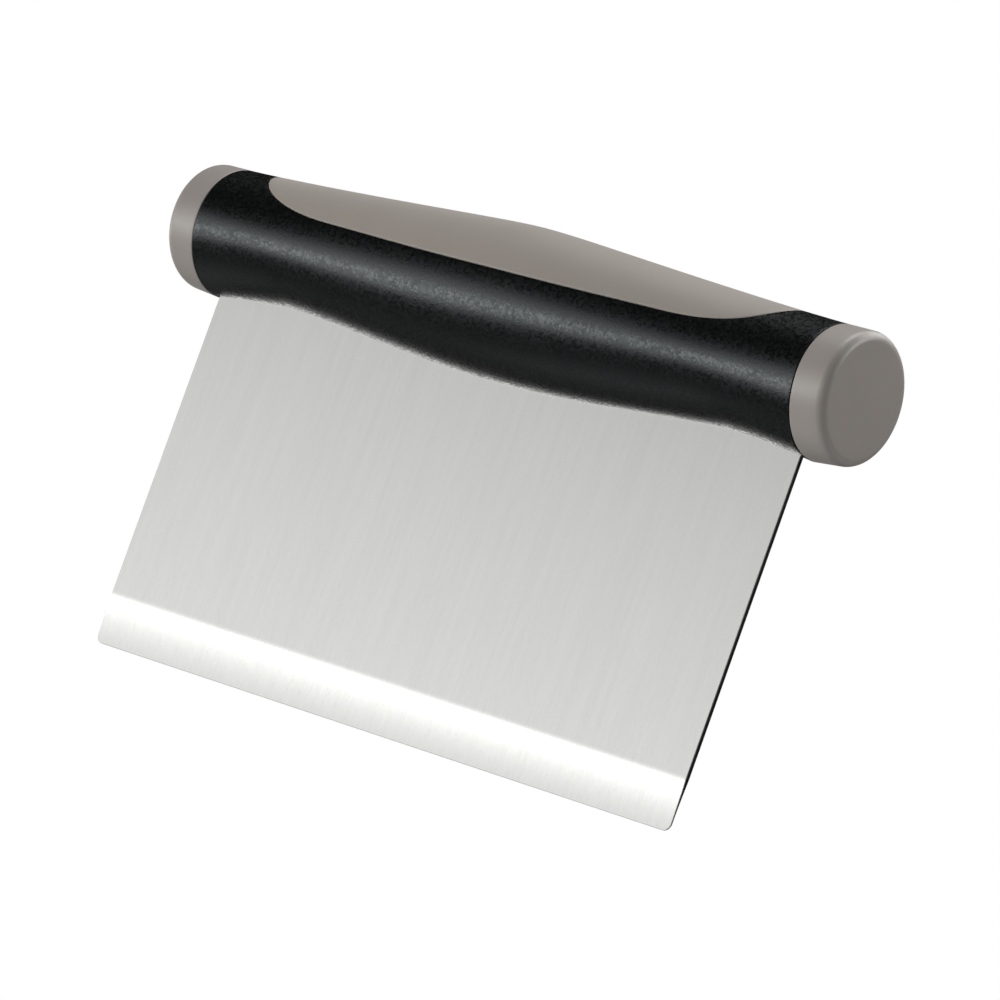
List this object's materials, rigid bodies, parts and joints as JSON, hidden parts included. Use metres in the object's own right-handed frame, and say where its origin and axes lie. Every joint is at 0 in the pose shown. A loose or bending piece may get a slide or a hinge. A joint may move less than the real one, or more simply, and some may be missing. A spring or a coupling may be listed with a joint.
{
  "type": "bench scraper",
  "caption": "Bench scraper: a brushed stainless blade with a hollow-ground edge, in a waisted round handle with a soft black grip, a grey top inlay and grey end caps.",
  "frame": {"origin": "middle of the cutting edge, at the object's lowest point", "axes": "+X along the handle and the cutting edge, +Y out of the back of the blade, +Z from the cutting edge to the handle"},
  "size_m": [0.171, 0.0316, 0.1071],
  "materials": {
    "steel": "fine brushed grain running from handle to edge",
    "rivet_steel": "plain drawn steel",
    "soft_grip": "matte, finely textured thermoplastic rubber",
    "grey_plastic": "satin warm grey, fine moulded texture",
    "core_plastic": "plain moulded plastic, hidden by the grip"
  },
  "bodies": {
    "root": {"blade": "steel", "core_front": "core_plastic", "core_rear": "core_plastic", "tang_rivet_left": "rivet_steel", "tang_rivet_centre": "rivet_steel", "tang_rivet_right": "rivet_steel", "grip": "soft_grip", "top_inlay": "grey_plastic", "end_cap_left": "grey_plastic", "end_cap_right": "grey_plastic"}
  },
  "joints": []
}
